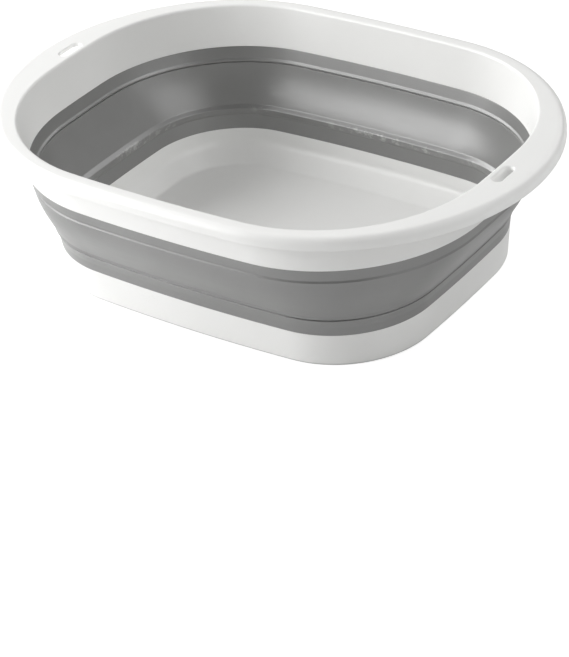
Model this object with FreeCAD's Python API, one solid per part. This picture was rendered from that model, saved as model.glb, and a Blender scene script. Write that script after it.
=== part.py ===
import FreeCAD, Part
import math
import os

# Collapsible washing-up bowl, in millimetres. +X runs along the bowl towards one handle, +Z is up,
# and the origin is the middle of the face that the bowl stands on.

# Plans: rounded oblongs of eight tangent arcs, two bowed ends, two bowed sides and four corners.
# The wall plan is the bowl's inside where the rim meets the sleeve.
wall_plan = {
    "half_length": 160.0,
    "half_width": 122.7,
    "end_radius": 1170.0,
    "side_radius": 1220.0,
    "end_flat": 21.9,
}
# The corners take up all of the half end but its flat.
wall_plan["corner_radius"] = wall_plan["half_width"] - wall_plan["end_flat"]
# The tub stands in from the wall plan, the mouth out from it, and the lip out from the mouth,
# furthest at the two handles.
end_inset = 22.8
side_inset = 15.5
corner_inset = 35.0
mouth_flare = 4.1
handle_reach = 26.7
lip_reach = 11.7
lip_end_share = 1.0
lip_side_share = 8.33
lip_corner_share = 0.952

# Heights of the five stacked zones, from the floor up
tub_height = 23.1
lower_height = 13.1
middle_height = 32.5
upper_height = 9.8
rim_height = 29.6

# Rim
skirt_wall = 3.0
lip_wall = 2.5
lip_drop = 8.2
lip_round = 5.2
lip_steps = 3
mouth_round = 1.8
mouth_steps = 1

# Hang slots in the two handles, a land away from the mouth and a shift to one side of the handle's middle;
# half a turn carries one onto the other
slot_length = 19.5
slot_width = 7.0
slot_land = 4.0
slot_shift = 7.5

# Folding sleeve: the upper band leans in, the middle band is a cone and the lower band flares out
sleeve_wall = 2.4
upper_lean = 2.4
lower_lean = 2.6
hinge_wall = 1.3
hinge_height = 1.2
bead_height = 4.0
bead_bulge = 0.7
bead_taper = 1.6

# Tub
tub_wall = 2.4
tub_floor = 2.6
tub_draft = 2.2
tub_edge_round = 1.5
tub_edge_steps = 1
tub_cove = 13.0
tub_cove_steps = 3
foot_width = 9.0
foot_depth = 1.0
foot_taper = 1.0

overrun = 2.0

tub_plan = {
    "half_length": wall_plan["half_length"] - end_inset,
    "half_width": wall_plan["half_width"] - side_inset,
    "end_radius": wall_plan["end_radius"] - end_inset,
    "side_radius": wall_plan["side_radius"] - side_inset,
    "corner_radius": wall_plan["corner_radius"] - corner_inset,
}
lip_half_length = wall_plan["half_length"] + mouth_flare + handle_reach
lip_half_width = wall_plan["half_width"] + mouth_flare + lip_reach
lip_plan = {
    "half_length": lip_half_length,
    "half_width": lip_half_width,
    "end_radius": lip_end_share * lip_half_width,
    "side_radius": lip_side_share * lip_half_length,
    "corner_radius": lip_corner_share * lip_half_width,
}
slot_reach = wall_plan["half_length"] + mouth_flare + slot_land + slot_width / 2

# Heights of the joints between the zones
lower_fold = tub_height + lower_height
upper_fold = lower_fold + middle_height
waist = upper_fold + upper_height
top = waist + rim_height
travel = 2 * middle_height

# Outer and inner faces of the sleeve at its two folds, as offsets from the wall plan and the tub plan
upper_out = sleeve_wall - upper_lean
upper_in = -upper_lean
lower_out = lower_lean
lower_in = lower_out - sleeve_wall


def arc(centre, radius, start, stop, z):
    angles = (start, (start + stop) / 2, stop)
    points = [(centre[0] + radius * math.cos(a), centre[1] + radius * math.sin(a), z) for a in angles]
    return Part.Arc(*[FreeCAD.Vector(*p) for p in points]).toShape()


def corner_centre(plan):
    # The corner arc touches the end arc and the side arc from inside.
    end_x = plan["half_length"] - plan["end_radius"]
    side_y = plan["half_width"] - plan["side_radius"]
    to_end = plan["end_radius"] - plan["corner_radius"]
    to_side = plan["side_radius"] - plan["corner_radius"]
    apart = math.hypot(end_x, side_y)
    along = (to_end**2 - to_side**2 + apart**2) / (2 * apart)
    across = math.sqrt(to_end**2 - along**2)
    ux, uy = -end_x / apart, side_y / apart
    return end_x + ux * along - uy * across, uy * along + ux * across


def outline(plan, offset, z):
    # A plan grown by offset at height z, starting at the +X end and going anticlockwise
    cx, cy = corner_centre(plan)
    end_x = plan["half_length"] - plan["end_radius"]
    side_y = plan["half_width"] - plan["side_radius"]
    end_angle = math.atan2(cy, cx - end_x)
    side_angle = math.atan2(cy - side_y, cx)
    end = plan["end_radius"] + offset
    side = plan["side_radius"] + offset
    corner = plan["corner_radius"] + offset
    half_turn = math.pi
    return Part.Wire(
        [
            arc((end_x, 0), end, -end_angle, end_angle, z),
            arc((cx, cy), corner, end_angle, side_angle, z),
            arc((0, side_y), side, side_angle, half_turn - side_angle, z),
            arc((-cx, cy), corner, half_turn - side_angle, half_turn - end_angle, z),
            arc((-end_x, 0), end, half_turn - end_angle, half_turn + end_angle, z),
            arc((-cx, -cy), corner, half_turn + end_angle, half_turn + side_angle, z),
            arc((0, -side_y), side, half_turn + side_angle, 2 * half_turn - side_angle, z),
            arc((cx, -cy), corner, -side_angle, -end_angle, z),
        ]
    )


def block(*levels):
    # A solid ruled through levels, each a plan, an offset from it and a height
    return Part.makeLoft([outline(*level) for level in levels], True, True)


def ring(outer, inner):
    return block(*outer).cut(block(*inner))


def quarter_round(plan, offset, z, inward, upward, steps):
    # Levels from an upright face at offset to a level face at z, lowest first; a negative inward flares out
    levels = []
    for step in range(steps + 1):
        angle = math.pi / 2 * step / steps
        in_by = inward * (1 - math.cos(angle))
        short_by = abs(inward) * (1 - math.sin(angle))
        levels.append((plan, offset - in_by, z - upward * short_by))
    return levels if upward > 0 else levels[::-1]


def slot_outline(end, z):
    # A straight slot along Y with round ends; end is 1 or -1
    x = slot_reach * end
    half = (slot_length - slot_width) / 2
    radius = slot_width / 2
    far = half - slot_shift * end
    near = -half - slot_shift * end
    return Part.Wire(
        [
            arc((x, far), radius, 0, math.pi, z),
            Part.makeLine(FreeCAD.Vector(x - radius, far, z), FreeCAD.Vector(x - radius, near, z)),
            arc((x, near), radius, math.pi, 2 * math.pi, z),
            Part.makeLine(FreeCAD.Vector(x + radius, near, z), FreeCAD.Vector(x + radius, far, z)),
        ]
    )


def make_slot(end):
    # The hole through the handle's plate
    levels = (top - lip_wall - overrun, top + overrun)
    return Part.makeLoft([slot_outline(end, z) for z in levels], True, True)


def make_rim():
    # A leaning skirt under a hollow, down-turned lip that widens into a handle at each end
    lip_low = top - lip_drop
    lip = block((lip_plan, 0, lip_low), *quarter_round(lip_plan, 0, top, lip_round, 1, lip_steps))
    hollow = block(
        (lip_plan, -lip_wall, lip_low - overrun),
        (lip_plan, -lip_wall, top - lip_round),
        (lip_plan, -lip_round, top - lip_wall),
    )
    skirt = block((wall_plan, skirt_wall, waist), (wall_plan, mouth_flare + skirt_wall, top))
    mouth = quarter_round(wall_plan, mouth_flare, top, -mouth_round, 1, mouth_steps)
    cavity = block((wall_plan, 0, waist), *mouth)
    rim = lip.cut(hollow).fuse(skirt).cut(cavity)
    for end in (1, -1):
        rim = rim.cut(make_slot(end))
    return rim.removeSplitter()


def make_upper_band():
    # Leans in from the rim to the upper fold
    return ring(
        [(wall_plan, upper_out, upper_fold), (wall_plan, sleeve_wall, waist)],
        [(wall_plan, upper_in, upper_fold), (wall_plan, 0, waist)],
    )


def make_middle_band():
    # The cone that turns inside out: a hinge groove inside its upper fold, half a bead at its lower one
    groove_low = upper_fold - hinge_height
    hinge_in = upper_out - hinge_wall
    bead_top = lower_fold + bead_height / 2
    bead_end = bead_top + bead_taper
    bead_in = lower_in - bead_bulge
    cone = ring(
        [(tub_plan, lower_out, lower_fold), (wall_plan, upper_out, upper_fold)],
        [(tub_plan, lower_in, lower_fold), (wall_plan, upper_in, upper_fold)],
    )
    groove = block((wall_plan, hinge_in, groove_low), (wall_plan, hinge_in, upper_fold))
    bead = ring(
        [(tub_plan, lower_out, lower_fold), (tub_plan, lower_out, bead_end)],
        [(tub_plan, bead_in, lower_fold), (tub_plan, bead_in, bead_top), (tub_plan, lower_out, bead_end)],
    )
    return cone.cut(groove).fuse(bead).removeSplitter()


def make_lower_band():
    # Flares up from the tub to the other half of the bead, with a hinge groove outside, under the lower fold
    groove_low = lower_fold - hinge_height
    hinge_out = lower_in + hinge_wall
    bead_low = lower_fold - bead_height / 2
    bead_start = bead_low - bead_taper
    bead_in = lower_in - bead_bulge
    flare = lower_lean / lower_height
    outer = block((tub_plan, 0, tub_height), (tub_plan, flare * (groove_low - tub_height), groove_low))
    web = block((tub_plan, hinge_out, groove_low), (tub_plan, hinge_out, lower_fold))
    inner = block(
        (tub_plan, -sleeve_wall, tub_height),
        (tub_plan, flare * (bead_start - tub_height) - sleeve_wall, bead_start),
        (tub_plan, bead_in, bead_low),
        (tub_plan, bead_in, lower_fold),
    )
    return outer.fuse(web).cut(inner).removeSplitter()


def make_tub():
    # A shallow tray with a coved floor, standing on a foot that runs round a shallow recess
    side = -tub_draft
    outer = block(
        *quarter_round(tub_plan, side, 0, tub_edge_round, -1, tub_edge_steps),
        (tub_plan, 0, tub_height),
    )
    inner = block(
        *quarter_round(tub_plan, side - tub_wall, tub_floor, tub_cove, -1, tub_cove_steps),
        (tub_plan, -tub_wall, tub_height),
    )
    foot_in = side - tub_edge_round - foot_width
    recess = block((tub_plan, foot_in, 0), (tub_plan, foot_in - foot_taper, foot_depth))
    return outer.cut(inner).cut(recess)


nodes = {
    "rim": make_rim(),
    "upper_band": make_upper_band(),
    "middle_band": make_middle_band(),
    "lower_band": make_lower_band(),
    "base_tub": make_tub(),
}

os.makedirs("parts", exist_ok=True)
for name, shape in nodes.items():
    print(name, len(shape.Solids), shape.isValid(), round(shape.Volume), len(shape.Faces))
    shape.Solids[0].exportStep("parts/" + name + ".step")
print("height", top, "travel", travel)
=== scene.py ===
import bmesh
import bpy
import math
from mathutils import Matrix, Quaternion, Vector
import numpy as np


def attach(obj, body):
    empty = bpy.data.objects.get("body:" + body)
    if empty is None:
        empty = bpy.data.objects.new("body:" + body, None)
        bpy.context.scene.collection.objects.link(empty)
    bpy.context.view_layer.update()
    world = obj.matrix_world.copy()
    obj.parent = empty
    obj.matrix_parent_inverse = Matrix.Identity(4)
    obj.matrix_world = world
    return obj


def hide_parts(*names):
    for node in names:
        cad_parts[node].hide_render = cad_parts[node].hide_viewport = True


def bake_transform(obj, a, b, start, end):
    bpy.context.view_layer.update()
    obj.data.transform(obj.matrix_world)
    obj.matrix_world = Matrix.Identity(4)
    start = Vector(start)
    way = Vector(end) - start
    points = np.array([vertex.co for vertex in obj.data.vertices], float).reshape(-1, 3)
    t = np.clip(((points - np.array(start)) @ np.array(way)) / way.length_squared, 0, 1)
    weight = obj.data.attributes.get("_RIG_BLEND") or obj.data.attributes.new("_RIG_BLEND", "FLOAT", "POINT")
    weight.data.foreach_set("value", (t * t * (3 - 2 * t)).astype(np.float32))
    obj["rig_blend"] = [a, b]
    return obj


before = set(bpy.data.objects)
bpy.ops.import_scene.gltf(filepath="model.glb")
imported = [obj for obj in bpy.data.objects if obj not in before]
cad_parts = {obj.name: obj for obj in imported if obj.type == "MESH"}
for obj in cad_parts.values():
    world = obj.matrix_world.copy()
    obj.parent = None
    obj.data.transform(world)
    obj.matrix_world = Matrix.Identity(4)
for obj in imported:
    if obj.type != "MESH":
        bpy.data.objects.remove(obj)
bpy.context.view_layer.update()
print("frame loaded:", ", ".join(sorted(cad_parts)))

mm = 0.001

# the bowl's outlines seen from above, and its heights, all in millimetres
bowl = {
    "wall": {
        "halfLength": 160,
        "halfWidth": 122.7,
        "endRadius": 1170,
        "sideRadius": 1220,
        "cornerRadius": 100.8,
    },
    "tub": {
        "halfLength": 137.2,
        "halfWidth": 107.2,
        "endRadius": 1147.2,
        "sideRadius": 1204.5,
        "cornerRadius": 65.8,
    },
    "lip": {
        "halfLength": 190.74,
        "halfWidth": 138.44,
        "endRadius": 138.44,
        "sideRadius": 1589,
        "cornerRadius": 131.79,
    },
    "inset": 19.2,  # roughly how far the tub stands in from the wall
    "tubTop": 23.1,
    "lowerFold": 36.2,
    "upperFold": 68.7,
    "waist": 78.5,
    "top": 108.1,
    "sides": 360,  # points round each ring
    "startRadius": 100,  # the circle that each piece starts from, until its first ring is placed
    "besideBend": 0.2,  # an extra ring this many radii off each bend keeps the flat there flat
    "weld": 0.002,  # points closer than this become one
}


def planArcs(plan):  # centres of the end, side and corner arcs in the first quarter
    endX = plan["halfLength"] - plan["endRadius"]
    sideY = plan["halfWidth"] - plan["sideRadius"]
    toEnd = plan["endRadius"] - plan["cornerRadius"]
    toSide = plan["sideRadius"] - plan["cornerRadius"]
    apart = math.hypot(endX, sideY)
    along = (toEnd**2 - toSide**2 + apart**2) / (2 * apart)
    across = math.sqrt(toEnd**2 - along**2)
    stepX, stepY = -endX / apart, sideY / apart
    return endX, sideY, endX + stepX * along - stepY * across, stepY * along + stepX * across


def reach(plan, offset, angle):  # how far out a grown plan lies in one direction
    endX, sideY, cornerX, cornerY = planArcs(plan)
    cosine, sine = abs(math.cos(angle)), abs(math.sin(angle))
    corner = plan["cornerRadius"] + offset
    endTurn = math.atan2(cornerY, cornerX - endX)
    sideTurn = math.atan2(cornerY - sideY, cornerX)
    turn = math.atan2(sine, cosine)
    if turn < math.atan2(cornerY + corner * math.sin(endTurn), cornerX + corner * math.cos(endTurn)):
        x, y, radius = endX, 0, plan["endRadius"] + offset
    elif turn < math.atan2(cornerY + corner * math.sin(sideTurn), cornerX + corner * math.cos(sideTurn)):
        x, y, radius = cornerX, cornerY, corner
    else:
        x, y, radius = 0, sideY, plan["sideRadius"] + offset
    along = cosine * x + sine * y
    return along + math.sqrt(radius**2 - x**2 - y**2 + along**2)


def roundedProfile(points, steps):  # (offset, height, radius) corners to a smooth run of points
    run = []
    beside = bowl["besideBend"]
    for i, (offset, z, radius) in enumerate(points):
        here = Vector((offset, z))
        if not radius or i in (0, len(points) - 1):
            run.append((offset, z))
            continue
        back = (Vector(points[i - 1][:2]) - here).normalized()
        on = (Vector(points[i + 1][:2]) - here).normalized()
        half = back.angle(on) / 2
        centre = here + (back + on).normalized() * radius / math.sin(half)
        first = here + back * radius / math.tan(half)
        last = here + on * radius / math.tan(half)
        startTurn = math.atan2(first.y - centre.y, first.x - centre.x)
        sweep = math.atan2(last.y - centre.y, last.x - centre.x) - startTurn
        sweep = (sweep + math.pi) % (2 * math.pi) - math.pi
        run.append(tuple(first + back * radius * beside))
        for step in range(steps + 1):
            turn = startTurn + sweep * step / steps
            run.append((centre.x + radius * math.cos(turn), centre.y + radius * math.sin(turn)))
        run.append(tuple(last + on * radius * beside))
    return run


def planRow(plan, offset, z, share=1.0):  # one ring on a plan; share shrinks it towards the middle
    return lambda angle: (reach(bowl[plan], offset, angle) * share, z)


def sleeveRow(offset, z):  # one ring of the sleeve, which opens from the tub's plan to the wall's
    up = (z - bowl["lowerFold"]) / (bowl["upperFold"] - bowl["lowerFold"])
    up = min(max(up, 0), 1)
    proud = offset + bowl["inset"] * (1 - up)
    return lambda angle: (
        reach(bowl["tub"], proud, angle) * (1 - up) + reach(bowl["wall"], proud, angle) * up,
        z,
    )


def placeRing(obj, row):  # moves the selected ring onto its row
    mesh = bmesh.from_edit_mesh(obj.data)
    for point in mesh.verts:
        if point.select:
            angle = math.atan2(point.co.y, point.co.x)
            radius, z = row(angle)
            point.co = Vector((radius * math.cos(angle), radius * math.sin(angle), z)) * mm
    bmesh.update_edit_mesh(obj.data)


def sweepRings(name, rows):  # a circle, extruded ring by ring
    bpy.ops.object.select_all(action="DESELECT")
    bpy.ops.mesh.primitive_circle_add(
        vertices=bowl["sides"], radius=bowl["startRadius"] * mm, location=(0, 0, 0)
    )
    obj = bpy.context.object
    obj.name = obj.data.name = name
    bpy.ops.object.mode_set(mode="EDIT")
    bpy.ops.mesh.select_all(action="SELECT")
    placeRing(obj, rows[0])
    for row in rows[1:]:
        bpy.ops.mesh.extrude_edges_move(TRANSFORM_OT_translate={"value": (0, 0, 0)})
        placeRing(obj, row)
    return obj


def closeShape(obj, smoothAngle):
    bpy.ops.object.mode_set(mode="EDIT")
    bpy.ops.mesh.select_all(action="SELECT")
    bpy.ops.mesh.remove_doubles(threshold=bowl["weld"] * mm)
    bpy.ops.mesh.normals_make_consistent(inside=False)
    bpy.ops.object.mode_set(mode="OBJECT")
    bpy.ops.object.select_all(action="DESELECT")
    obj.select_set(True)
    bpy.context.view_layer.objects.active = obj
    bpy.ops.object.shade_smooth_by_angle(angle=math.radians(smoothAngle))
    print(obj.name, len(obj.data.polygons), "faces")


rimLook = {
    "flare": 4.1,  # how far the mouth stands out from the wall
    "skirtWall": 3.0,
    "skirtEdge": 0.5,
    "mouthRound": 1.8,
    "mouthFlat": 3,  # out from the mouth along the flat top
    "insideSteps": 7,
    "lipRound": 5.2,
    "lipDrop": 8.2,
    "lipWall": 2.5,
    "lipEdge": 0.8,
    "lipFlat": 7,  # in from the lip's edge along the flat top
    "underFlat": 6.4,  # and the same on the underside
    "lipSteps": 8,
    "neckRound": 1.0,  # where the skirt meets the underside
    "neckFlat": 1.5,
    "outsideSteps": 5,
    "smoothAngle": 32,
    "slotLength": 19.5,
    "slotWidth": 7,
    "slotSides": 62,
    "slotOverrun": 3,  # how far the cutter stands out of the plate
    "slotFlare": 0.75,  # how far the slot's top edge opens out
    "flareRings": [(0, 1.3), (0.3, 0.55), (1, 0)],  # out and down, as shares of the flare
    "flareEnd": 3,  # and the share that the cutter's own top has
    "slots": [(171.6, -7.5), (-171.6, 7.5)],
}


def makeRim(look):
    top, waist = bowl["top"], bowl["waist"]
    wall, flare, lipWall = look["skirtWall"], look["flare"], look["lipWall"]
    low, under = top - look["lipDrop"], top - lipWall
    neck = wall + flare * (under - waist) / (top - waist)
    inside = roundedProfile(
        [
            (wall / 2, waist, 0),
            (0, waist, look["skirtEdge"]),
            (flare, top, look["mouthRound"]),
            (flare + look["mouthFlat"], top, 0),
        ],
        look["insideSteps"],
    )
    lip = roundedProfile(
        [
            (-look["lipFlat"], top, 0),
            (0, top, look["lipRound"]),
            (0, low, look["lipEdge"]),
            (-lipWall, low, look["lipEdge"]),
            (-lipWall, under, look["lipRound"] - lipWall),
            (-look["underFlat"], under, 0),
        ],
        look["lipSteps"],
    )
    outside = roundedProfile(
        [
            (neck + look["neckFlat"], under, 0),
            (neck, under, look["neckRound"]),
            (wall, waist, look["skirtEdge"]),
            (wall / 2, waist, 0),
        ],
        look["outsideSteps"],
    )
    rows = [planRow("wall", *point) for point in inside]
    rows += [planRow("lip", *point) for point in lip]
    rows += [planRow("wall", *point) for point in outside]
    rim = sweepRings("whiteRim", rows)
    closeShape(rim, look["smoothAngle"])
    for x, y in look["slots"]:
        cutSlot(rim, x, y, look)
    return rim


def cutSlot(rim, x, y, look):  # a round-ended hole through the handle, flared at its top edge
    top, radius = bowl["top"], look["slotWidth"] / 2
    half = (look["slotLength"] - look["slotWidth"]) / 2
    flare, overrun = look["slotFlare"], look["slotOverrun"]
    rings = [(0, top - look["lipWall"] - overrun)]
    rings += [(flare * out, top - flare * down) for out, down in look["flareRings"]]
    rings += [(flare * look["flareEnd"], top + overrun)]
    bpy.ops.object.select_all(action="DESELECT")
    bpy.ops.mesh.primitive_circle_add(
        vertices=look["slotSides"], radius=radius * mm, fill_type="NGON", location=(0, 0, 0)
    )
    cutter = bpy.context.object
    bpy.ops.object.mode_set(mode="EDIT")
    bpy.ops.mesh.select_all(action="SELECT")
    mesh = bmesh.from_edit_mesh(cutter.data)
    turns = mesh.verts.layers.float.new("turn")  # each point keeps its own direction
    for point in mesh.verts:
        point[turns] = math.atan2(point.co.y, point.co.x)
    for i, (grow, z) in enumerate(rings):
        if i:
            bpy.ops.mesh.extrude_region_move(TRANSFORM_OT_translate={"value": (0, 0, 0)})
        mesh = bmesh.from_edit_mesh(cutter.data)
        turns = mesh.verts.layers.float["turn"]
        out = radius + grow
        for point in mesh.verts:
            if point.select:
                turn = point[turns]
                end = half if turn > 0 else -half
                point.co = Vector((x + out * math.cos(turn), y + end + out * math.sin(turn), z)) * mm
        bmesh.update_edit_mesh(cutter.data)
    bpy.ops.mesh.select_all(action="SELECT")
    bpy.ops.mesh.normals_make_consistent(inside=False)
    bpy.ops.object.mode_set(mode="OBJECT")
    bpy.ops.object.select_all(action="DESELECT")
    bpy.context.view_layer.objects.active = rim
    rim.select_set(True)
    bpy.ops.object.modifier_add(type="BOOLEAN")
    cut = rim.modifiers[-1]
    cut.operation = "DIFFERENCE"
    cut.solver = "EXACT"
    cut.object = cutter
    bpy.ops.object.modifier_apply(modifier=cut.name)
    bpy.data.objects.remove(cutter)
    bpy.ops.object.shade_smooth_by_angle(angle=math.radians(look["smoothAngle"]))
    print("slot cut at", x, y)


sleeveLook = {  # rises and drops are measured from the fold beside them
    "wall": 2.4,
    "upperLean": 2.4,
    "lowerLean": 2.6,
    "topFace": {"middle": 1.0, "setBack": 0.6, "inside": 0.2, "round": 0.3},  # stands in under the skirt
    "crease": {"step": 0.5, "rise": 0.9, "round": 0.9},  # over the cone at the outer upper fold
    "coneOut": {"topDrop": 0.5, "topRound": 0.5, "lowRise": 2.2, "lowRound": 0.9},
    "coneIn": {"topDrop": 0.9, "topIn": 0.2, "topRound": 0.35, "lowRise": 3.6, "lowRound": 1.4},
    "bulge": 1.3,  # how far the cone swells outside its straight line
    "bulgeInside": 0.7,  # share of the swell that its inner face has
    "bulgeLean": 1.3,  # over 1 puts the fullest place above the middle
    "coneRows": 22,
    "brow": {"out": 0.55, "rise": 0.1, "round": 0.4},  # edge over the outer groove
    "groove": {"hinge": 1.3, "height": 1.2, "topDrop": 0.3, "topRound": 0.25, "lowRound": 0.3},
    "shoulder": {"drop": 0.2, "round": 0.45},  # edge under the outer groove
    "hollow": {"depth": 0.45, "round": 9},  # of the lower band's outside
    "bottomRound": 0.2,
    "bead": {  # the lower fold's rib, which stands in from the wall
        "stand": 1.2,
        "startDrop": 3.3,
        "startRound": 0.3,
        "lowDrop": 2.0,
        "lowRound": 0.4,
        "topRise": 1.5,
        "topRound": 1.0,
    },
    "notch": {"depth": 0.2, "lowDrop": 0.75, "topDrop": 0.25, "round": 0.15},  # inside the upper fold
    "ledge": {  # the small rib over the notch
        "stand": 0.8,
        "lowDrop": 0.1,
        "lowRound": 0.35,
        "topRise": 0.9,
        "topRound": 0.5,
        "endOut": 0.35,
        "endRise": 2.2,
        "endRound": 0.8,
    },
    "steps": 5,
    "smoothAngle": 40,
}


def makeSleeve(look):
    low, high, waist, tubTop = bowl["lowerFold"], bowl["upperFold"], bowl["waist"], bowl["tubTop"]
    wall, tubOut = look["wall"], -bowl["inset"]
    upperOut = wall - look["upperLean"]
    lowerOut = tubOut + look["lowerLean"]
    lean = look["lowerLean"] / (low - tubTop)
    slope = (upperOut - lowerOut) / (high - low)

    def cone(start, stop, bulge):  # points between two ends of the cone, fullest above its middle
        points = []
        for row in range(1, look["coneRows"]):
            share = row / look["coneRows"]
            full = bulge * math.sin(math.pi * share ** look["bulgeLean"])
            offset = start[0] + (stop[0] - start[0]) * share + full
            points.append((offset, start[1] + (stop[1] - start[1]) * share, 0))
        return points

    face, crease, outside = look["topFace"], look["crease"], look["coneOut"]
    brow, groove, shoulder, hollow = look["brow"], look["groove"], look["shoulder"], look["hollow"]
    outTop = (upperOut, high - outside["topDrop"])
    outLow = (lowerOut + slope * outside["lowRise"], low + outside["lowRise"])
    hingeOut = lowerOut - wall + groove["hinge"]
    grooveLow = low - groove["height"]
    bandOut = lowerOut - lean * groove["height"]
    points = [  # down the outside
        (face["middle"], waist, 0),
        (wall - face["setBack"], waist, face["round"]),
        (upperOut - crease["step"], high + crease["rise"], crease["round"]),
        (*outTop, outside["topRound"]),
        *cone(outLow, outTop, look["bulge"])[::-1],
        (*outLow, outside["lowRound"]),
        (lowerOut + brow["out"], low + brow["rise"], brow["round"]),
        (hingeOut, low - groove["topDrop"], groove["topRound"]),
        (hingeOut, grooveLow, groove["lowRound"]),
        (bandOut, grooveLow - shoulder["drop"], shoulder["round"]),
        ((bandOut + tubOut) / 2 - hollow["depth"], (grooveLow + tubTop) / 2, hollow["round"]),
        (tubOut, tubTop, look["bottomRound"]),
    ]
    bead, inside, notch, ledge = look["bead"], look["coneIn"], look["notch"], look["ledge"]
    beadIn = lowerOut - wall - bead["stand"]
    beadStart = low - bead["startDrop"]
    inLow = (lowerOut - wall + slope * inside["lowRise"], low + inside["lowRise"])
    inTop = (upperOut - wall - slope * inside["topDrop"] - inside["topIn"], high - inside["topDrop"])
    notchIn = upperOut - wall + notch["depth"]
    ledgeIn = upperOut - wall - ledge["stand"]
    points += [  # and up the inside
        (tubOut - wall, tubTop, look["bottomRound"]),
        (tubOut - wall + lean * (beadStart - tubTop), beadStart, bead["startRound"]),
        (beadIn, low - bead["lowDrop"], bead["lowRound"]),
        (beadIn, low + bead["topRise"], bead["topRound"]),
        (*inLow, inside["lowRound"]),
        *cone(inLow, inTop, look["bulge"] * look["bulgeInside"]),
        (*inTop, inside["topRound"]),
        (notchIn, high - notch["lowDrop"], notch["round"]),
        (notchIn, high - notch["topDrop"], notch["round"]),
        (ledgeIn, high - ledge["lowDrop"], ledge["lowRound"]),
        (ledgeIn, high + ledge["topRise"], ledge["topRound"]),
        (ledgeIn + ledge["stand"] + ledge["endOut"], high + ledge["endRise"], ledge["endRound"]),
        (face["inside"], waist, face["round"]),
        (face["middle"], waist, 0),
    ]
    rows = [sleeveRow(*point) for point in roundedProfile(points, look["steps"])]
    sleeve = sweepRings("foldingSleeve", rows)
    closeShape(sleeve, look["smoothAngle"])
    return sleeve


tubLook = {
    "wall": 2.4,
    "topRound": 0.2,
    "draft": 2.2,
    "floor": 2.6,
    "cove": 13,
    "coveBend": 5,  # radius of its turn onto the floor
    "coveOut": 0.9,  # how far out its upper turn lies from the wall's foot
    "coveRise": 0.8,  # height and radius of that turn, as shares of the cove
    "coveRound": 0.7,
    "floorFlat": 6,  # from the cove in to the first of the floor's rings
    "floorRings": [0.93, 0.8, 0.6, 0.4, 0.2, 0.06],  # shares that shrink towards the middle
    "bottomRound": 1.5,
    "footWidth": 9,
    "footDepth": 1,
    "footTaper": 1,
    "footRound": 0.5,
    "recessFlat": 4,  # from the foot in to the first of the recess's rings
    "lastRing": 11,  # wider than the smallest ring and narrower than the next
    "level": 0.01,  # points this close in height are in one plane
    "steps": 9,
    "smoothAngle": 32,
}


def makeTub(look):
    wall, top, side = look["wall"], bowl["tubTop"], -look["draft"]
    cove, floorTop, depth = look["cove"], look["floor"], look["footDepth"]
    foot = side - look["bottomRound"] - look["footWidth"]
    recess = foot - look["recessFlat"]
    inside = side - wall - cove - look["floorFlat"]
    section = roundedProfile(
        [
            (recess, depth, 0),
            (foot - look["footTaper"], depth, look["footRound"]),
            (foot, 0, look["footRound"]),
            (side, 0, look["bottomRound"]),
            (0, top, look["topRound"]),
            (-wall, top, look["topRound"]),
            (side - wall + look["coveOut"], floorTop + cove * look["coveRise"], cove * look["coveRound"]),
            (side - wall - cove, floorTop, look["coveBend"]),
            (inside, floorTop, 0),
        ],
        look["steps"],
    )
    rows = [planRow("tub", recess, depth, share) for share in look["floorRings"][::-1]]
    rows += [planRow("tub", *point) for point in section]
    rows += [planRow("tub", inside, floorTop, share) for share in look["floorRings"]]
    tub = sweepRings("whiteTub", rows)
    bpy.ops.mesh.merge(type="CENTER")  # the last ring shuts at the middle of the floor
    mesh = bmesh.from_edit_mesh(tub.data)
    for point in mesh.verts:  # and the first one at the middle of the underside
        level = abs(point.co.z / mm - depth) < look["level"]
        point.select = level and point.co.xy.length / mm < look["lastRing"]
    mesh.select_flush_mode()
    bmesh.update_edit_mesh(tub.data)
    bpy.ops.mesh.merge(type="CENTER")
    closeShape(tub, look["smoothAngle"])
    return tub


rim = makeRim(rimLook)
sleeve = makeSleeve(sleeveLook)
tub = makeTub(tubLook)
print("pieces modelled")

middle = 0.5  # what a noise varies about, and half way along a ramp


class Wire:  # a node socket that takes part in sums
    def __init__(self, tree, socket):
        self.tree, self.socket = tree, socket

    def make(self, kind, settings=None, inputs=None, out=0):
        node = self.tree.nodes.new(kind)
        for key, value in (settings or {}).items():
            if key == "stops":
                ramp = node.color_ramp
                while len(ramp.elements) < len(value):
                    ramp.elements.new(middle)
                for element, (position, shade) in zip(ramp.elements, value):
                    element.position = position
                    element.color = (shade, shade, shade, 1)
            else:
                setattr(node, key, value)
        for key, value in (inputs or {}).items():
            if isinstance(value, Wire):
                self.tree.links.new(value.socket, node.inputs[key])
            else:
                node.inputs[key].default_value = value
        return Wire(self.tree, node.outputs[out])

    def sum(self, operation, first, second):
        return self.make("ShaderNodeMath", {"operation": operation}, {0: first, 1: second})

    def __add__(self, other):
        return self.sum("ADD", self, other)

    def __radd__(self, other):
        return self.sum("ADD", other, self)

    def __sub__(self, other):
        return self.sum("SUBTRACT", self, other)

    def __rsub__(self, other):
        return self.sum("SUBTRACT", other, self)

    def __mul__(self, other):
        return self.sum("MULTIPLY", self, other)

    def __rmul__(self, other):
        return self.sum("MULTIPLY", other, self)

    def __truediv__(self, other):
        return self.sum("DIVIDE", self, other)

    def __rtruediv__(self, other):
        return self.sum("DIVIDE", other, self)

    def ramp(self, stops):
        return self.make("ShaderNodeValToRGB", {"stops": stops}, {0: self})

    def blend(self, first, second):  # this socket's value picks between two colours
        return self.make("ShaderNodeMix", {"data_type": "RGBA"}, {0: self, 6: first, 7: second}, 2)


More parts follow.
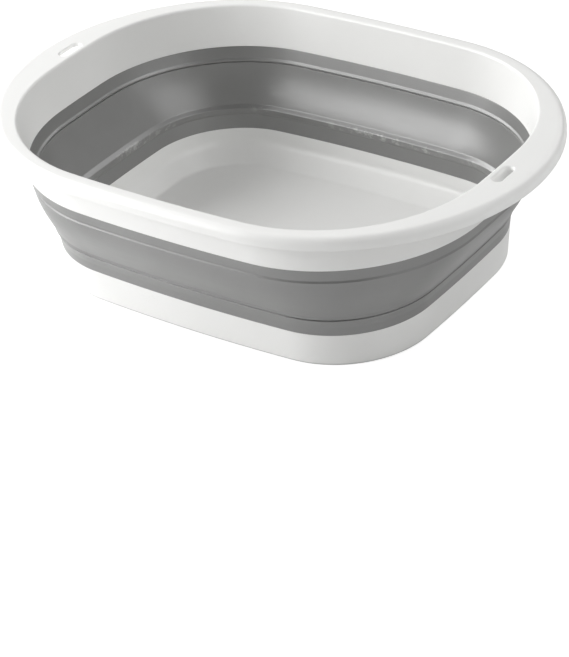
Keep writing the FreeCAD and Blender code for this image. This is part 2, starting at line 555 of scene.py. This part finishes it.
def startFinish(name, settings):
    finish = bpy.data.materials.new(name)
    finish.use_nodes = True
    tree = finish.node_tree
    shader = tree.nodes["Principled BSDF"]
    for key, value in settings.items():
        shader.inputs[key].default_value = value
    coords = tree.nodes.new("ShaderNodeTexCoord")
    return finish, shader, Wire(tree, coords.outputs["Object"])


def noise(place, layer):
    scale, detail, roughness = layer["noise"]
    inputs = {"Vector": place, "Scale": scale, "Detail": detail, "Roughness": roughness}
    return place.make("ShaderNodeTexNoise", None, inputs)


def stretch(place, layer):  # turned about the bowl's axis, then scaled
    inputs = {"Vector": place, "Rotation": (0, 0, layer["turn"]), "Scale": layer["stretch"]}
    return place.make("ShaderNodeMapping", None, inputs)


def heightOf(place):
    return place.make("ShaderNodeSeparateXYZ", None, {0: place}, 2)


def bump(height, settings):
    return height.make("ShaderNodeBump", None, {**settings, "Height": height})


def plug(shader, wires):
    for key, wire in wires.items():
        wire.tree.links.new(wire.socket, shader.inputs[key])


whiteLook = {  # each noise is its scale, detail and roughness
    "light": (0.87, 0.87, 0.857, 1),
    "dull": (0.84, 0.84, 0.825, 1),
    # the grey that the foot is painted towards, as painted contact shade
    "paintedFootShade": (0.42, 0.42, 0.41, 1),
    "shader": {"IOR": 1.49, "Specular IOR Level": 0.5},
    "roughness": 0.30,
    "cloud": {"noise": (11, 4, 0.55), "ramp": [(0.35, 0), (0.75, 1)], "tint": 0.7, "rough": 0.12},
    "ripple": {"noise": (60, 2, 0.5), "bump": 0.7},
    "grain": {"noise": (1500, 2, 0.5), "rough": 0.05, "bump": 0.08},
    "scuff": {
        "turn": 0.6,
        "stretch": (14, 420, 60),
        "noise": (1, 3, 0.6),
        "ramp": [(0.60, 0), (0.72, 1)],
        "tint": 0.12,
        "rough": 0.06,
        "bump": 0.05,
    },
    "foot": {"height": 0.0026, "ramp": [(0.3, 0.75), (0.7, 0)]},  # painted contact shade, a dark line round the tub's foot
    "bump": {"Strength": 0.05, "Distance": 0.0006},
}


def whitePlastic(name, look):
    finish, shader, place = startFinish(name, look["shader"])
    cloudLook, rippleLook = look["cloud"], look["ripple"]
    grainLook, scuffLook = look["grain"], look["scuff"]
    cloud = noise(place, cloudLook)
    ripple = noise(place, rippleLook)
    grain = noise(place, grainLook)
    scuff = noise(stretch(place, scuffLook), scuffLook).ramp(scuffLook["ramp"])
    # painted contact shade: colour goes darker towards the bottom edge of the tub
    foot = (heightOf(place) / look["foot"]["height"]).ramp(look["foot"]["ramp"])
    tint = cloud.ramp(cloudLook["ramp"]) * cloudLook["tint"] + scuff * scuffLook["tint"]
    shade = tint.blend(look["light"], look["dull"])
    rough = look["roughness"] + (cloud - middle) * cloudLook["rough"]
    rough = rough + (grain - middle) * grainLook["rough"] + scuff * scuffLook["rough"]
    relief = ripple * rippleLook["bump"] + grain * grainLook["bump"] + scuff * scuffLook["bump"]
    wires = {"Base Color": foot.blend(shade, look["paintedFootShade"]), "Roughness": rough}
    wires["Normal"] = bump(relief, look["bump"])
    plug(shader, wires)
    return finish


greyLook = {
    "base": (0.18, 0.18, 0.176, 1),
    "deep": (0.152, 0.152, 0.149, 1),
    "worn": (0.52, 0.52, 0.51, 1),
    "shader": {"IOR": 1.7, "Specular IOR Level": 0.9, "Coat Weight": 0.6, "Coat Roughness": 0.34},
    "roughness": 0.38,
    "cloud": {"noise": (16, 4, 0.55), "ramp": [(0.3, 0), (0.75, 1)]},
    "grain": {"noise": (1900, 2, 0.5), "rough": 0.08, "bump": 0.25},
    "smear": {"turn": 0, "stretch": (30, 30, 260), "noise": (1, 3, 0.6), "rough": 0.14, "bump": 0.5},
    "rub": {
        "noise": (170, 5, 0.75),
        "ramp": [(0.50, 0), (0.60, 1)],
        "tint": 0.6,
        "rough": 0.08,
        "bump": 0.4,
    },
    "zone": {"noise": (14, 2, 0.5), "ramp": [(0.54, 0), (0.62, 1)]},  # where the bead is rubbed
    "bead": {"height": 0.0362, "span": 0.01, "ramp": [(0.22, 0), (0.32, 1), (0.68, 1), (0.78, 0)]},
    "inward": {"gain": 20, "ramp": [(0.4, 1), (0.5, 0)]},  # only on faces that look in
    "bump": {"Strength": 0.07, "Distance": 0.0005},
}


def greyElastomer(name, look):
    finish, shader, place = startFinish(name, look["shader"])
    grainLook, smearLook, rubLook = look["grain"], look["smear"], look["rub"]
    cloud = noise(place, look["cloud"])
    grain = noise(place, grainLook)
    smear = noise(stretch(place, smearLook), smearLook)
    fromBead = (heightOf(place) - look["bead"]["height"]) / look["bead"]["span"]
    nearBead = (fromBead + middle).ramp(look["bead"]["ramp"])
    facing = place.make("ShaderNodeTexCoord", out="Normal")
    outward = place.make(
        "ShaderNodeVectorMath", {"operation": "DOT_PRODUCT"}, {0: place, 1: facing}, "Value"
    )
    inside = (outward * look["inward"]["gain"] + middle).ramp(look["inward"]["ramp"])
    zone = noise(place, look["zone"]).ramp(look["zone"]["ramp"])
    rub = noise(place, rubLook).ramp(rubLook["ramp"]) * zone * nearBead * inside
    shade = cloud.ramp(look["cloud"]["ramp"]).blend(look["base"], look["deep"])
    rough = look["roughness"] + (smear - middle) * smearLook["rough"]
    rough = rough + (grain - middle) * grainLook["rough"] - rub * rubLook["rough"]
    relief = grain * grainLook["bump"] + smear * smearLook["bump"] + rub * rubLook["bump"]
    wires = {"Base Color": (rub * rubLook["tint"]).blend(shade, look["worn"]), "Roughness": rough}
    wires["Normal"] = bump(relief, look["bump"])
    plug(shader, wires)
    return finish


def dress(piece, finish):
    piece.data.materials.clear()
    piece.data.materials.append(finish)


dress(rim, whitePlastic("rimWhite", whiteLook))
dress(tub, whitePlastic("tubWhite", whiteLook))
dress(sleeve, greyElastomer("sleeveGrey", greyLook))
print("finishes on")

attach(rim, "rim")
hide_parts("rim")
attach(tub, "base")
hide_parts("base_tub")
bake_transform(sleeve, "rim", "base", start=(0, 0, bowl["upperFold"] * mm), end=(0, 0, bowl["lowerFold"] * mm))
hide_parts("upper_band", "middle_band", "lower_band")
print("pieces ride on their bodies")

studio = {
    "floorSize": 14,
    "floorColour": (0.86, 0.86, 0.86, 1),
    "floorSeen": (0.40, 0.40, 0.40, 1),  # the camera sees less of the floor's own shade
    "floorLift": 0.80,  # and a white lift over it
    "sky": (1, 1, 1, 1),
    "skyLight": 0.03,  # what the bowl gets of the sky; the camera sees all of it
    "aim": (0, 0, 0.06),
    "lamps": [  # softboxes; turn and lift in degrees about the bowl, the rest in metres and watts
        {"name": "keyLow", "turn": -143, "lift": 14, "away": 1.8, "size": 0.8, "power": 12},
        {"name": "keyHigh", "turn": -143, "lift": 36, "away": 1.8, "size": 1.0, "power": 10.3},
        {"name": "leftGlow", "turn": -165, "lift": 12, "away": 1.3, "size": 0.6, "power": 2.2},
        {"name": "sheen", "turn": -124, "lift": 22, "away": 1.2, "size": 0.45, "power": 3.4},
        {"name": "backLeft", "turn": 172, "lift": 36, "away": 1.8, "size": 1.0, "power": 17.5},
        {"name": "fillRight", "turn": -6, "lift": 34, "away": 1.8, "size": 1.5, "power": 11},
        {"name": "rightHigh", "turn": 25, "lift": 52, "away": 1.8, "size": 1.0, "power": 5.5},
        {"name": "backRight", "turn": 82, "lift": 36, "away": 1.8, "size": 1.0, "power": 8},
    ],
}


def cameraRay(tree):  # 1 where the camera looks straight at something
    path = tree.nodes.new("ShaderNodeLightPath")
    return Wire(tree, path.outputs["Is Camera Ray"])


def makeFloor(look):
    bpy.ops.object.select_all(action="DESELECT")
    bpy.ops.mesh.primitive_plane_add(size=look["floorSize"], location=(0, 0, 0))
    floor = bpy.context.object
    floor.name = "paleFloor"
    finish = bpy.data.materials.new("floorWhite")
    finish.use_nodes = True
    tree = finish.node_tree
    tree.nodes.clear()
    out = tree.nodes.new("ShaderNodeOutputMaterial")
    matt = tree.nodes.new("ShaderNodeBsdfDiffuse")
    lift = tree.nodes.new("ShaderNodeEmission")
    add = tree.nodes.new("ShaderNodeAddShader")
    seen = cameraRay(tree)
    plug(matt, {"Color": seen.blend(look["floorColour"], look["floorSeen"])})
    plug(lift, {"Strength": seen * look["floorLift"]})
    tree.links.new(matt.outputs[0], add.inputs[0])
    tree.links.new(lift.outputs[0], add.inputs[1])
    tree.links.new(add.outputs[0], out.inputs["Surface"])
    floor.data.materials.append(finish)
    print("floor laid")


def makeLights(look):
    world = bpy.data.worlds.new("studio")
    bpy.context.scene.world = world
    world.use_nodes = True
    sky = world.node_tree.nodes["Background"]
    sky.inputs["Color"].default_value = look["sky"]
    seen = cameraRay(world.node_tree)
    plug(sky, {"Strength": seen * (1 - look["skyLight"]) + look["skyLight"]})
    for lamp in look["lamps"]:
        turn, up = math.radians(lamp["turn"]), math.radians(lamp["lift"])
        away = Vector((math.cos(turn) * math.cos(up), math.sin(turn) * math.cos(up), math.sin(up)))
        bpy.ops.object.light_add(type="AREA", location=Vector(look["aim"]) + away * lamp["away"])
        light = bpy.context.object
        light.name = lamp["name"]
        light.data.shape = "SQUARE"
        light.data.size = lamp["size"]
        light.data.energy = lamp["power"]
        light.rotation_euler = (-away).to_track_quat("-Z", "Y").to_euler()
    print("studio lit by", len(look["lamps"]), "lamps")


view = {
    "azimuth": 37.0794,
    "elevation": 29.1543,
    "distance": 1.633442,
    "target": (0, 0, 0.06),
    "lens": 139.095,
    "sensor": 36,
    "aside": -0.2002,  # degrees that the frame's middle lies off the target
    "tilt": -3.4731,
    "roll": -5.1533,
    "farthest": 50,
}


def makeCamera(look):
    turn, lift = math.radians(look["azimuth"]), math.radians(look["elevation"])
    back = Vector((math.sin(turn) * math.cos(lift), -math.cos(turn) * math.cos(lift), math.sin(lift)))
    right = Vector((math.cos(turn), math.sin(turn), 0))
    up = back.cross(right)
    aim = -back + right * math.tan(math.radians(look["aside"])) + up * math.tan(math.radians(look["tilt"]))
    bpy.ops.object.camera_add(location=Vector(look["target"]) + back * look["distance"])
    camera = bpy.context.object
    roll = Quaternion((0, 0, 1), math.radians(look["roll"]))
    camera.rotation_euler = (aim.to_track_quat("-Z", "Y") @ roll).to_euler()
    camera.data.lens = look["lens"]
    camera.data.sensor_width = look["sensor"]
    camera.data.clip_end = look["farthest"]
    bpy.context.scene.camera = camera
    print("camera placed")


makeFloor(studio)
makeLights(studio)
makeCamera(view)
bpy.context.scene.view_settings.view_transform = "Standard"
